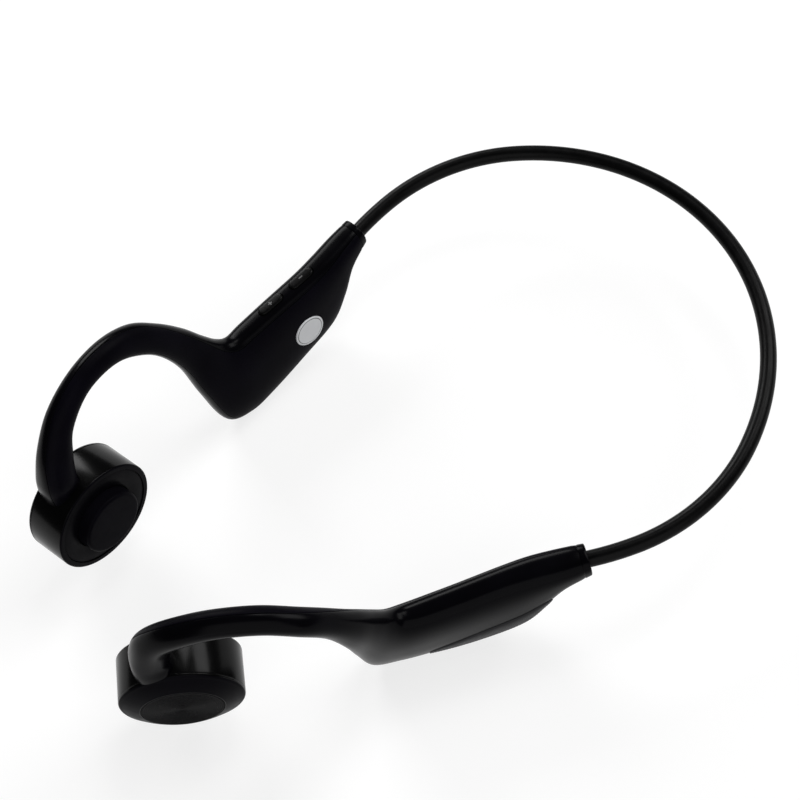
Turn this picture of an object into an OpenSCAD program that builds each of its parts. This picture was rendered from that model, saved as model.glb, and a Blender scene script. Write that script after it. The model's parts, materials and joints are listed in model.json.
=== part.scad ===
// Bone conduction headphones: a neck band, two arm pods with ear hooks, two transducer pucks.
// Millimetres. X runs to the wearer's left, Y to the rear, Z up, with the floor at Z = 0.

/* [Neck band] */
// Diameter of the band's jacket
band_d = 3.7; // [3.5:0.1:4.2]
// Radius of the bend behind the neck
rear_radius = 57.8; // [54:0.1:62]
// Turn of that bend on each side of the middle, in degrees
rear_sweep = 57.7; // [55:0.1:60]
// Radius of the bends at the sides of the neck
side_radius = 44.3; // [41:0.1:48]
// Turn of each side bend, in degrees
side_sweep = 43.8; // [41:0.1:46]
// Radius of the last run into the pods
entry_radius = 68.4; // [60:0.1:80]
// Turn of the last run, in degrees
entry_sweep = 8.6; // [6:0.1:11]
// Diameter of the memory wire in the band
wire_d = 0.9; // [0.7:0.05:1]
// Diameter of the cable in the band
cable_d = 1; // [0.8:0.05:1.1]

/* [Arms] */
// Length in plan from the band's exit to the puck's axis
arm_length = 92; // [86:0.1:96]
// Turn of the arms towards each other, in degrees
arm_toe = 16.7; // [14:0.1:19]
// Thickness of the pods
pod_thick = 9.5; // [9:0.1:10.2]
// Thickness of the pods where the band enters
end_thick = 6.7; // [6.4:0.1:8]
// Height of the pods' top edge over the band's middle, at the front
pod_rise = 2; // [1.5:0.1:2.5]
// Depth of the pods below the band's middle
pod_drop = 21.2; // [20.4:0.1:22.4]
// Height of the ear hooks over the band's middle
hook_rise = 31.2; // [30:0.1:33]
// Depth of the ear hooks' strap, seen from the side
hook_deep = 7.9; // [7.4:0.1:8.4]
// Thickness of the ear hooks' strap
hook_thick = 6.2; // [6:0.1:7]
// Wall of the shells
shell_wall = 1.2; // [1:0.05:1.4]

/* [Pucks] */
// Diameter of the pucks
puck_d = 27.4; // [27:0.1:29]
// Height of the pucks' side wall
puck_h = 10.8; // [10:0.1:11.2]
// Turn of the pucks towards each other, in degrees
puck_toe = 22; // [20:0.5:24]
// Height of the pucks' axis below the band's middle
puck_drop = 2.9; // [2:0.1:4]
// Wall of the pucks
puck_wall = 1.4; // [1.2:0.1:1.6]
// Diameter of the contact pads
pad_d = 15.8; // [15.4:0.1:17]
// Height that the contact pads stand proud
pad_proud = 3; // [2.4:0.1:3.4]
// Diameter of the disc in the outer face
disc_d = 18; // [17:0.1:19]
// Rise of the outer face from its rim to the disc
dome_rise = 1.7; // [1.5:0.1:2.2]

/* [Controls] */
// Length of a volume button
button_l = 7; // [6.4:0.1:8]
// Width of a volume button
button_w = 2.5; // [2.2:0.1:2.8]
// Distance between the two volume buttons' middles
button_pitch = 9.6; // [9.4:0.1:10.4]
// Press of the buttons
press = 0.4; // [0.3:0.05:0.45]
// Length of the charge port's cover
cover_l = 11.4; // [11:0.1:12.4]
// Width of the charge port's cover
cover_w = 3.8; // [3.6:0.1:4]
// Diameter of the round badge
badge_d = 8.4; // [7.6:0.1:9.6]

/* [Fits] */
// Gap beside pieces that move
run_gap = 0.2; // [0.15:0.05:0.25]
// Gap beside pieces that are seated
seat_gap = 0.05; // [0.03:0.01:0.1]

/* [Hidden] */
$fn = 64;
sides = ["right", "left"];
black = [0.03, 0.03, 0.035];
steel = [0.7, 0.7, 0.72];

// How far cuts run past a face, and how far joined shapes run into each other
cut_past = 1;
join_lap = 0.1;

// Route of the band, as turns from the rear middle
turn_1 = rear_sweep;
turn_2 = turn_1 + side_sweep;
turn_3 = turn_2 + entry_sweep;
function outward(a) = [sin(a), cos(a)];
centre_1 = [0, -rear_radius];
centre_2 = centre_1 + (rear_radius - side_radius) * outward(turn_1);
centre_3 = centre_2 + (side_radius - entry_radius) * outward(turn_2);
exit_rel = centre_3 + entry_radius * outward(turn_3);
puck_rel = exit_rel - arm_length * [sin(arm_toe), cos(arm_toe)];
puck_in = 0.5;
puck_r = puck_d / 2;
band_stub = 5;
wire_stub = 12;
cable_stub = 14;
core_deep = 1.15;
core_offset = band_d / 2 - core_deep;
anchor_d = 1.6;
anchor_l = 4;

// Levels in a puck, outward from its middle
half_h = puck_h / 2;
rim_round = 0.9;
rim_side = 0.1;
parting = half_h - rim_round - rim_side;
top_z = half_h + dome_rise;
floor_deep = 1.5;
floor_z = half_h - floor_deep;
floor_t = 0.8;
spigot_h = 1;
ring_r = puck_r - puck_wall;
ledge_w = 0.8;
ledge_r = ring_r - ledge_w;
disc_r = disc_d / 2;
trim_t = 1.2;
disc_flange = 0.7;
flange_t = 0.6;
under_gap = 0.15;
disc_under = floor_z + floor_t + press + under_gap;
disc_hollow = 4;
switch_h = 1;
nub_h = 0.25;
nub_gap = 0.05;
nub_r = 1;
nub_top = floor_z + floor_t + switch_h + nub_h;
stroke = 0.2;
face_inset = 0.2;
face_t = 0.9;
face_z = -half_h + face_inset;
pad_r = pad_d / 2;
pad_round = 0.8;
pad_flange = 0.6;
pad_flange_z = face_z + face_t + stroke + run_gap;
pad_flange_t = 0.5;
pad_top = pad_flange_z + pad_flange_t;
bobbin_z = pad_top + seat_gap;
bobbin_t = 0.6;
spring_z = pad_top + stroke + run_gap;
spring_t = 0.25;
pole_r = 6.5;
magnet_inset = 0.3;
magnet_r = pole_r - magnet_inset;
coil_gap = 0.45;
coil_in = pole_r + coil_gap;
coil_t = 0.8;
coil_out = coil_in + coil_t;
yoke_gap = 0.55;
yoke_in = coil_out + yoke_gap;
yoke_wall = 1.2;
yoke_out = yoke_in + yoke_wall;
yoke_t = 1.1;
magnet_t = 2.7;
pole_t = 1;
yoke_top = floor_z - seat_gap;
magnet_top = yoke_top - yoke_t - seat_gap;
pole_top = magnet_top - magnet_t - seat_gap;
pole_low = pole_top - pole_t;
coil_overlap = 1;
coil_top = pole_top + coil_overlap;

// Middle of the whole in Y, between the front of the pucks' rims and the rear of the band
rim_reach =
    (puck_r - rim_round) * cos(puck_toe) + (half_h - rim_round) * sin(puck_toe) + rim_round;
front_rel = puck_rel.y + puck_in * sin(arm_toe) - rim_reach;
rear_y = -(front_rel + band_d / 2) / 2;

// Stations along an arm, from the band's end to the puck. A point has its outward offset, its
// distance back from the puck's axis and its height over the band's middle. Each station has the
// section's upper and lower point, its half thickness and its squareness.
end_ahead = 0.4;
pod_len = 36.7;
pod_front_y = arm_length - end_ahead - pod_len;
top_slope = 0.04;
buttons_back = 13.1;
plus_share = (buttons_back - button_pitch / 2) / pod_len;
minus_share = (buttons_back + button_pitch / 2) / pod_len;
function pod_y(share) = pod_front_y + share * pod_len;
function pod_top(y) = pod_rise + top_slope * (y - pod_front_y);
function pod_upper(out, share) = [out, pod_y(share), pod_top(pod_y(share))];
function pod_lower(out, share, deep) = [out, pod_y(share), -deep * pod_drop];

// Distances back along the hook are drawn for one place of the pod's front and stretch to the real one
drawn_front_y = 54.9;
hook_stretch = pod_front_y / drawn_front_y;
function hook_y(y) = y > 0 ? y * hook_stretch : y;
function hook_point(out, y, z) = [out, hook_y(y), z];
function hook_upper(out, y, share) =
    hook_point(out, y, pod_rise + share * (hook_rise - pod_rise));
function strap(top, aim, lean, deep) =
    [top, top - deep * [sin(lean), cos(lean) * cos(aim), cos(lean) * sin(aim)]];
pod_half = pod_thick / 2;
end_half = end_thick / 2;
strap_half = hook_thick / 2;
lobe_half = (pod_half + strap_half) / 2;
tongue_flare = 1.3;
tongue_half = strap_half + tongue_flare;
tongue_z = puck_r - puck_drop;
stations = [
    [pod_upper(0.2, 1), pod_lower(0.1, 1, 0.125), end_half, 2.8],
    [pod_upper(0, 0.82), pod_lower(-0.2, 0.83, 0.27), (end_half + pod_half) / 2, 3],
    [pod_upper(-0.2, 0.66), pod_lower(-0.6, 0.7, 0.55), pod_half - 0.2, 3.2],
    [pod_upper(0, minus_share), pod_lower(-0.7, 0.54, 0.82), pod_half, 3.2],
    [pod_upper(0.9, plus_share), pod_lower(-0.7, 0.25, 0.93), pod_half, 3.2],
    [pod_upper(1.6, 0), pod_lower(-1, -0.07, 0.99), pod_half, 3],
    [hook_point(1.8, 50.6, pod_rise + 0.2), hook_point(-1, 45, -pod_drop), pod_half - 0.1, 2.8],
    [hook_upper(2.6, 48, 0.075), hook_point(-0.2, 39.2, -0.86 * pod_drop), pod_half - 0.3, 2.6],
    [hook_upper(3.6, 45.6, 0.21), hook_point(1.6, 37.6, -0.33 * pod_drop), lobe_half, 2.4],
    [hook_upper(4.8, 42.8, 0.4), hook_point(4, 37, 0.18 * pod_drop), strap_half + 0.4, 2.3],
    concat(strap(hook_upper(6.6, 38.5, 0.62), 58, 17, hook_deep + 0.4), [strap_half, 2.2]),
    concat(strap(hook_upper(7.9, 32.8, 0.825), 68, 28, hook_deep - 0.1), [strap_half, 2.2]),
    concat(strap(hook_upper(7.2, 24.6, 0.97), 84, 32, hook_deep - 1.4), [strap_half, 2.2]),
    concat(strap(hook_upper(5.7, 14.9, 1), 97, 32, hook_deep - 1.9), [strap_half, 2.2]),
    concat(strap(hook_upper(3.8, 5.4, 0.905), 116, 26, hook_deep - 1.1), [strap_half + 0.2, 2.2]),
    concat(strap(hook_upper(1.5, -1.8, 0.71), 143, 15, hook_deep), [strap_half + 0.6, 2.3]),
    concat(strap(hook_upper(0.2, -5.8, 0.475), 163, 5, hook_deep + 0.6), [tongue_half, 2.4]),
    [[0.4, -7, tongue_z - 0.3], [0.4, 2.2, tongue_z + 0.7], tongue_half, 2.5]
];
minus_station = 3;
plus_station = 4;
port_station = 4;
mic_station = 3;
lens_station = 2;
last_station = len(stations) - 1;
rings_per_station = 3;
seam_angle = 125;
seam_slack = 0.4;
outer_steps = 14;
inner_steps = 6;

// Smooth value between the stations, on a curve through all of them
function clamped(i) = stations[max(0, min(last_station, i))];
function curve(a, b, c, d, t) =
    b + 0.5 * t * (c - a + t * (2 * a - 5 * b + 4 * c - d + t * (3 * (b - c) + d - a)));
function between(u) =
    let (i = min(floor(u), last_station - 1))
    curve(clamped(i - 1), clamped(i), clamped(i + 1), clamped(i + 2), u - i);

// Directions and points of a section, taken in by a wall
function power(v, e) = sign(v) * pow(abs(v), e);
function unit(v) = v / norm(v);
function section_up(s) = unit(s[0] - s[1]);
function section_out(s) = unit([1, 0, 0] - section_up(s).x * section_up(s));
function section_mid(s) = (s[0] + s[1]) / 2;
function section_point(s, angle, inset) =
    let (
        up = (norm(s[0] - s[1]) / 2 - inset) * power(sin(angle), 2 / s[3]),
        out = (s[2] - inset) * power(cos(angle), 2 / s[3])
    )
    section_mid(s) + section_up(s) * up + section_out(s) * out;

// Height of the puck's side wall under a point of the arm
puck_turn = arm_toe - puck_toe;
puck_axis = [cos(puck_turn), sin(puck_turn)];
function on_puck(p) =
    let (
        q = [p.x + puck_in, p.y],
        reach = pow(puck_r + seat_gap, 2) - q * q + pow(q * puck_axis, 2)
    )
    [p.x, p.y, sqrt(reach) - puck_drop];

function arm_point(u, angle, inset) =
    let (p = section_point(between(u), angle, inset))
    u == last_station ? on_puck(p) : p;
plug_end = 1 / rings_per_station;
shell_places = [for (k = [1 : last_station * rings_per_station]) k / rings_per_station];
outer_turn = seam_angle - seam_slack;
inner_turn = seam_angle + seam_slack;
outer_pitch = 2 * outer_turn / outer_steps;
lowest = min([
    for (u = shell_places, k = [0 : outer_steps]) arm_point(u, k * outer_pitch - outer_turn, 0).z
]);
band_z = -lowest;

// Point on the outer shell's flat facets, between the angles of its corners
function facet_point(u, angle, inset) =
    let (
        k = floor((angle + outer_turn) / outer_pitch),
        a = k * outer_pitch - outer_turn,
        t = (angle - a) / outer_pitch
    )
    (1 - t) * arm_point(u, a, inset) + t * arm_point(u, a + outer_pitch, inset);

// Closed solid through rings of points that all have the same count
function skin_faces(rings, count) = [
    for (k = [0 : rings - 2], j = [0 : count - 1])
        let (
            a = k * count + j,
            b = k * count + (j + 1) % count
        )
        each [[a, a + count, b], [b, a + count, b + count]]
];
function flip(faces) = [for (f = faces) [f[2], f[1], f[0]]];
function moved(faces, by) = [for (f = faces) [for (i = f) i + by]];

// Solid through rings that run out along one row of points and back along another
module strip_solid(rings) {
    count = len(rings[0]);
    first = [
        for (j = [0 : count / 2 - 2])
            each [[j, j + 1, count - 1 - j], [j + 1, count - 2 - j, count - 1 - j]]
    ];
    last = moved(flip(first), (len(rings) - 1) * count);
    polyhedron([for (r = rings) each r], concat(skin_faces(len(rings), count), first, last));
}

// Solid through closed rings, with a flat end at each
module ring_solid(rings) {
    count = len(rings[0]);
    first = [for (j = [1 : count - 2]) [0, j, j + 1]];
    last = moved(flip(first), (len(rings) - 1) * count);
    polyhedron([for (r = rings) each r], concat(skin_faces(len(rings), count), first, last));
}

// One half of a hollow arm: the stretch of its wall between two angles
module arm_wall(from, to, steps) {
    turns = [for (i = [0 : steps]) from + (to - from) * i / steps];
    strip_solid([
        for (u = shell_places)
            concat(
                [for (a = turns) arm_point(u, a, 0)],
                [for (i = [steps : -1 : 0]) arm_point(u, turns[i], shell_wall)]
            )
    ]);
}

// Frames
module on_side(side) {
    if (side == "left") children();
    else mirror([1, 0, 0]) children();
}
module in_band() translate([0, rear_y, band_z]) children();
module in_arm(side)
    in_band()
        on_side(side)
            translate([puck_rel.x, puck_rel.y, 0])
                rotate([0, 0, -arm_toe]) children();
module in_puck(side)
    in_arm(side)
        translate([-puck_in, 0, -puck_drop])
            rotate([0, 0, puck_turn])
                rotate([0, 90, 0]) children();
module at_exit(side)
    in_band()
        on_side(side)
            translate([exit_rel.x, exit_rel.y, 0])
                rotate([0, 0, 90 - turn_3])
                    rotate([90, 0, 0]) children();

// Frames on a pod's top or bottom line at a station: Y runs back along it and Z out of it
function back_along(i, row) = stations[i - 1][row] - stations[i + 1][row];
function lean(i) = atan2(section_up(stations[i]).x, section_up(stations[i]).z);
module on_line(side, i, row) {
    way = back_along(i, row);
    in_arm(side)
        translate(stations[i][row])
            rotate([atan2(way.z, way.y), lean(i), -atan2(way.x, way.y)]) children();
}
module on_top(i) on_line("right", i, 0) children();
module on_bottom(i) on_line("right", i, 1) rotate([0, 180, 0]) children();

// Frame in the middle of a pod: X out, Y back along it
plus_mid = section_mid(stations[plus_station]);
minus_mid = section_mid(stations[minus_station]);
pod_mid = (plus_mid + minus_mid) / 2;
pod_way = minus_mid - plus_mid;
pod_lean = (lean(plus_station) + lean(minus_station)) / 2;
pod_yaw = -atan2(pod_way.x, pod_way.y);
pod_pitch = atan2(pod_way.z, pod_way.y);
module in_pod(side) in_arm(side) translate(pod_mid) rotate([0, pod_lean, pod_yaw]) children();

// Shapes
module stadium(l, w) {
    square([w, l - w], center = true);
    for (end = [-1, 1])
        translate([0, end * (l - w) / 2]) circle(d = w);
}
module ring(inner, outer, from, to)
    rotate_extrude()
        translate([inner, from]) square([outer - inner, to - from]);
module disc(r, from, to) translate([0, 0, from]) cylinder(h = to - from, r = r);
function arc(centre, r, from, to) =
    [for (i = [0 : 6]) let (a = from + (to - from) * i / 6) centre + r * [cos(a), sin(a)]];

// Band. Each stretch laps into the one behind it and is a hair thinner, so that the two join cleanly
band_lap = 0.2;
band_thinning = 0.05;
module band_arc(from, to, radius, centre, $thin)
    translate([centre.x, centre.y, 0])
        rotate([0, 0, 90 - to])
            rotate_extrude(angle = to - from, $fn = 128)
                translate([radius, 0]) children();
module band_stretch(from, to, radius, centre, $thin)
    band_arc(from - band_lap / radius * 180 / PI, to, radius, centre, $thin) children();
module band_end(side, stub, $thin)
    at_exit(side)
        translate([0, 0, -band_lap])
            linear_extrude(stub + band_lap) children();
module band_route(stub) {
    in_band() {
        band_arc(-turn_1, turn_1, rear_radius, centre_1, 0) children();
        for (side = sides)
            on_side(side) {
                band_stretch(turn_1, turn_2, side_radius, centre_2, band_thinning) children();
                band_stretch(turn_2, turn_3, entry_radius, centre_3, 2 * band_thinning) children();
            }
    }
    for (side = sides)
        band_end(side, stub, 3 * band_thinning) children();
}

module neck_band()
    color(black)
        band_route(band_stub)
            difference() {
                circle(d = band_d - $thin);
                translate([core_offset, 0]) circle(d = wire_d + 2 * seat_gap - $thin);
                translate([-core_offset, 0]) circle(d = cable_d + 2 * seat_gap - $thin);
            }

module memory_wire()
    color(steel)
        band_route(wire_stub)
            translate([core_offset, 0]) circle(d = wire_d - $thin);

module band_cable()
    color("dimgray")
        band_route(cable_stub)
            translate([-core_offset, 0]) circle(d = cable_d - $thin);

module wire_anchor(side)
    color("goldenrod")
        at_exit(side)
            translate([core_offset, 0, wire_stub - anchor_l])
                linear_extrude(anchor_l)
                    difference() {
                        circle(d = anchor_d);
                        circle(d = wire_d + 2 * seat_gap);
                    }

// Arms
wall_sag = 0.45;
button_under = shell_wall + run_gap + wall_sag;
button_flange = 0.5;
button_rim = 0.45;
button_proud = 0.45;
switch_l = 4;
switch_w = 2.2;
switch_t = 1.2;
switch_gap = 0.1;
switch_top = button_under + button_flange + press + switch_gap;
badge_proud = 0.15;
badge_ahead = 1.3;
badge_low = 1.5;
badge_t = 0.75;
cover_t = 1.2;
cover_sink = 0.1;
hinge_r = cover_t / 2;
hinge_y = -cover_l / 2 + hinge_r;
hinge_z = -cover_sink - hinge_r;
mic_hole_d = 1;
lens_d = 1.6;
module cover_slot()
    translate([0, 0, -2 * shell_wall])
        linear_extrude(4 * shell_wall)
            square([cover_w + 2 * run_gap, cover_l + 2 * run_gap], center = true);

module outer_shell(side)
    color(black)
        difference() {
            in_arm(side) arm_wall(-outer_turn, outer_turn, outer_steps);
            if (side == "right") {
                for (i = [plus_station, minus_station])
                    on_top(i)
                        translate([0, 0, -2 * shell_wall])
                            linear_extrude(4 * shell_wall)
                                stadium(button_l + 2 * run_gap, button_w + 2 * run_gap);
                on_bottom(port_station) cover_slot();
                on_bottom(mic_station) cylinder(h = 4 * shell_wall, d = mic_hole_d, center = true);
                on_bottom(lens_station)
                    cylinder(h = 4 * shell_wall, d = lens_d + 2 * seat_gap, center = true);
            }
        }

module at_badge()
    in_pod("right")
        translate([-pod_half + badge_t - badge_proud, -badge_ahead, -badge_low])
            rotate([0, -90, 0]) children();

module inner_shell(side)
    color([0.06, 0.06, 0.07])
        difference() {
            in_arm(side) arm_wall(inner_turn, 360 - inner_turn, inner_steps);
            if (side == "right")
                at_badge()
                    translate([0, 0, -seat_gap])
                        cylinder(h = 2 * shell_wall, d = badge_d + 2 * seat_gap);
        }

module badge() color([0.85, 0.85, 0.87]) at_badge() cylinder(h = badge_t, d = badge_d);

plug_slack = 0.008;
plug_round = 0.5;
module end_plug(side)
    color(black)
        difference() {
            in_arm(side)
                ring_solid([
                    for (k = [[0, plug_round], [0.03, plug_round / 4], [0.08, 0], [plug_end - plug_slack, 0]])
                        [for (a = [0 : 15 : 345]) arm_point(k[0], a, k[1])]
                ]);
            at_exit(side)
                cylinder(h = 4 * band_stub, d = band_d + 2 * seat_gap, center = true);
        }

// Grip panels, shaped like a leaf: they narrow and thin out towards both ends and both edges
grip_mid = -28;
grip_spread = 21;
grip_point = 0.03;
grip_steps = 6;
grip_t = 0.6;
grip_edge = 0.6;
grip_gap = 0.08;
grip_first = 5;
grip_last = 15;
function grip_swell(k) =
    sqrt(sin(180 * (grip_point + (1 - 2 * grip_point) * (k - grip_first) / (grip_last - grip_first))));
module grip_panel(side) {
    across = [for (i = [0 : grip_steps]) 2 * i / grip_steps - 1];
    color([0.05, 0.05, 0.05])
        in_arm(side)
            strip_solid([
                for (k = [grip_first : grip_last])
                    let (
                        u = k / rings_per_station,
                        angles = [for (w = across) grip_mid + grip_spread * grip_swell(k) * w],
                        thick = [for (w = across) grip_t * grip_swell(k) * (1 - grip_edge * pow(w, 4))]
                    )
                    concat(
                        [for (i = [0 : grip_steps]) facet_point(u, angles[i], -grip_gap - thick[i])],
                        [for (i = [grip_steps : -1 : 0]) facet_point(u, angles[i], -grip_gap)]
                    )
            ]);
}

// Lead from the pod through the ear hook to the puck
lead_d = 1;
lead_z = -1;
lead_turn = 9;
lead_above = 1;
lead_tail = 1.2;
lead_in = puck_r - puck_wall - lead_tail;
function puck_to_arm(p) = [
    p.z * cos(puck_turn) - p.y * sin(puck_turn) - puck_in,
    p.z * sin(puck_turn) + p.y * cos(puck_turn),
    -p.x - puck_drop
];
function lead_ring(mid, out, up) =
    [for (a = [0 : 45 : 315]) mid + lead_d / 2 * (cos(a) * out + sin(a) * up)];
function lead_drop(r) =
    let (
        mid = puck_to_arm([-r * cos(lead_turn), -r * sin(lead_turn), lead_z]),
        out = puck_to_arm([0, 0, 1]) - puck_to_arm([0, 0, 0]),
        up = puck_to_arm([sin(lead_turn), -cos(lead_turn), 0]) - puck_to_arm([0, 0, 0])
    )
    lead_ring(mid, out, up);
lead_places = [for (k = [16 : 47]) k / rings_per_station];
module speaker_lead(side)
    color("dimgray")
        in_arm(side)
            ring_solid(concat(
                [
                    for (u = lead_places)
                        let (s = between(u))
                        lead_ring(section_mid(s), section_out(s), section_up(s))
                ],
                [for (r = [puck_r + lead_above, lead_in]) lead_drop(r)]
            ));

// Pucks
module puck_cap(side)
    color(black)
        in_puck(side)
            difference() {
                union() {
                    rotate_extrude()
                        polygon(concat(
                            [[0, parting], [puck_r, parting]],
                            arc([puck_r, half_h] - rim_round * [1, 1], rim_round, 0, 75),
                            [[disc_r, top_z], [0, top_z]]
                        ));
                    disc(ring_r - seat_gap, parting - spigot_h, parting);
                }
                disc(ledge_r, parting - 2 * spigot_h, floor_z);
                if (side == "right") {
                    disc(disc_r + seat_gap, top_z - trim_t, top_z + cut_past);
                } else {
                    disc(disc_r + run_gap, floor_z + floor_t, top_z + cut_past);
                    disc(
                        disc_r + disc_flange + run_gap,
                        floor_z + floor_t,
                        disc_under + flange_t + run_gap
                    );
                }
            }

module right_trim_disc()
    color([0.1, 0.1, 0.1])
        in_puck("right") disc(disc_r, top_z - trim_t + seat_gap, top_z);

module function_button()
    color([0.1, 0.1, 0.1])
        in_puck("left")
            difference() {
                union() {
                    disc(disc_r, disc_under, top_z);
                    disc(disc_r + disc_flange, disc_under, disc_under + flange_t);
                }
                disc(disc_hollow, disc_under - cut_past, nub_top + press + nub_gap);
            }

module function_switch()
    color(steel)
        in_puck("left") {
            translate([0, 0, floor_z + floor_t + seat_gap + switch_h / 2])
                cube([switch_l, switch_l, switch_h - 2 * seat_gap], center = true);
            disc(nub_r, floor_z + floor_t + switch_h / 2, nub_top);
        }

module puck_ring(side)
    color(black)
        in_puck(side)
            difference() {
                union() {
                    ring(ring_r, puck_r, -half_h, parting - seat_gap);
                    ring(ledge_r, ring_r + join_lap, face_z + face_t + seat_gap, spring_z - seat_gap);
                }
                rotate([0, 0, lead_turn])
                    translate([0, 0, lead_z])
                        rotate([0, -90, 0])
                            cylinder(h = puck_r + cut_past, d = lead_d + 2 * run_gap);
            }

module face_plate(side)
    color([0.06, 0.06, 0.07])
        in_puck(side) ring(pad_r + run_gap, ring_r - seat_gap, face_z, face_z + face_t);

module yoke(side)
    color(steel)
        in_puck(side)
            difference() {
                disc(yoke_out, pole_low, yoke_top);
                disc(yoke_in, pole_low - cut_past, yoke_top - yoke_t);
            }

module magnet(side)
    color("dimgray")
        in_puck(side) disc(magnet_r, magnet_top - magnet_t, magnet_top);

module pole_plate(side) color(steel) in_puck(side) disc(pole_r, pole_low, pole_top);

module voice_coil(side)
    color("goldenrod")
        in_puck(side) {
            disc(coil_out, bobbin_z, bobbin_z + bobbin_t);
            ring(coil_in, coil_out, bobbin_z, coil_top);
        }

module spring_plate(side)
    color(steel)
        in_puck(side)
            ring(coil_out + run_gap, ring_r - seat_gap, spring_z, spring_z + spring_t);

module contact_pad(side)
    color([0.05, 0.05, 0.055])
        in_puck(side)
            rotate_extrude()
                polygon(concat(
                    [[0, pad_top], [0, -half_h - pad_proud]],
                    arc([pad_r, -half_h - pad_proud] + pad_round * [-1, 1], pad_round, -90, 0),
                    [
                        [pad_r, pad_flange_z],
                        [pad_r + pad_flange, pad_flange_z],
                        [pad_r + pad_flange, pad_top]
                    ]
                ));

// Controls and electronics
mark_l = 1.1;
mark_w = 0.3;
mark_deep = 0.2;
module volume_button(i, strokes)
    color(black)
        on_top(i)
            difference() {
                union() {
                    translate([0, 0, -button_under])
                        linear_extrude(button_under + button_proud) stadium(button_l, button_w);
                    translate([0, 0, -button_under - button_flange])
                        linear_extrude(button_flange)
                            stadium(button_l + 2 * button_rim, button_w + 2 * button_rim);
                }
                translate([0, 0, button_proud])
                    for (turn = strokes)
                        rotate([0, 0, turn])
                            cube([mark_w, mark_l, 2 * mark_deep], center = true);
            }
module volume_up_button() volume_button(plus_station, [0, 90]);
module volume_down_button() volume_button(minus_station, [0]);

module volume_switches()
    color(steel)
        for (i = [plus_station, minus_station])
            on_top(i)
                translate([0, 0, -switch_top - switch_t / 2])
                    cube([switch_w, switch_l, switch_t], center = true);

board_t = 0.8;
board_gap = 0.7;
board_lift = shell_wall + board_gap;
socket_l = 8.9;
socket_w = 3.2;
socket_t = 6.5;
socket_wall = 0.35;
socket_floor = 0.6;
socket_top = cover_sink + cover_t + run_gap;
mic_d = 2.4;
mic_t = 1.2;
mic_top = shell_wall + wall_sag;
lens_l = 2;
lens_sink = 0.1;
function board_top(i, y) =
    let (p = stations[i][0])
    [p.y + y, p.z - switch_top - switch_t - 2 * seat_gap + top_slope * y];
function board_low(i, y, z) = let (p = stations[i][1]) [p.y + y, p.z + board_lift + z];
module main_board() {
    outline = [
        board_top(plus_station, -6),
        board_top(minus_station, 4),
        board_low(minus_station, 2, 3.4),
        board_low(minus_station, -1, 1.2),
        board_low(plus_station, 2, 0.8),
        board_low(plus_station, -7, 0)
    ];
    color("darkgreen")
        difference() {
            in_pod("right")
                rotate([90, 0, 90])
                    linear_extrude(board_t, center = true)
                        polygon([for (p = outline) p - [pod_mid.y, pod_mid.z]]);
            on_bottom(port_station)
                translate([-socket_w, -socket_l / 2 - 2 * run_gap, -socket_top - socket_t - 2 * run_gap])
                    cube([2 * socket_w, socket_l + 4 * run_gap, 2 * socket_t]);
            on_bottom(mic_station)
                cylinder(h = 2 * (mic_top + mic_t + run_gap), d = mic_d + 2 * run_gap, center = true);
        }
}

chip_l = 5.4;
chip_t = 1.1;
chip_ahead = 1;
chip_up = 3.2;
module radio_chip()
    color("black")
        in_pod("right")
            translate([board_t / 2 + seat_gap + chip_t / 2, -chip_ahead, chip_up])
                cube([chip_t, chip_l, chip_l], center = true);

module charge_socket()
    color(steel)
        on_bottom(port_station)
            translate([0, 0, -socket_top - socket_t])
                difference() {
                    translate([-socket_w / 2, -socket_l / 2, 0]) cube([socket_w, socket_l, socket_t]);
                    translate([socket_wall - socket_w / 2, socket_wall - socket_l / 2, socket_floor])
                        cube([socket_w - 2 * socket_wall, socket_l - 2 * socket_wall, socket_t]);
                }

lip_w = 1.8;
lip_h = 0.7;
lip_start = 2;
lip_end = 0.9;
lip_from = hinge_y + lip_start;
lip_to = socket_l / 2 - lip_end;
module port_cover()
    color([0.05, 0.05, 0.05])
        on_bottom(port_station) {
            translate([0, hinge_y, hinge_z])
                rotate([0, 90, 0]) cylinder(h = cover_w, r = hinge_r, center = true);
            translate([-cover_w / 2, hinge_y, hinge_z - hinge_r])
                cube([cover_w, cover_l / 2 - hinge_y, cover_t]);
            translate([-lip_w / 2, lip_from, hinge_z - hinge_r - lip_h])
                cube([lip_w, lip_to - lip_from, lip_h + hinge_r]);
        }

module microphone()
    color(steel)
        on_bottom(mic_station) disc(mic_d / 2, -mic_top - mic_t, -mic_top);

module status_lens()
    color([0.9, 0.9, 0.95])
        on_bottom(lens_station) disc(lens_d / 2, -lens_l, -lens_sink);

battery_l = 21;
battery_h = 12.4;
battery_t = 4.6;
battery_y = -3.4;
guard_t = 0.8;
guard_in = 1;
guard_up = 0.5;
module in_battery()
    in_pod("left") rotate([pod_pitch, 0, 0]) translate([0, battery_y, 0]) children();
module battery()
    color("silver")
        in_battery() cube([battery_t, battery_l, battery_h], center = true);
module battery_board()
    color("darkgreen")
        in_battery()
            translate([0, battery_l / 2 + seat_gap + guard_t / 2, guard_up])
                cube([battery_t - guard_in, guard_t, battery_h - 3 * guard_in], center = true);

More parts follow.
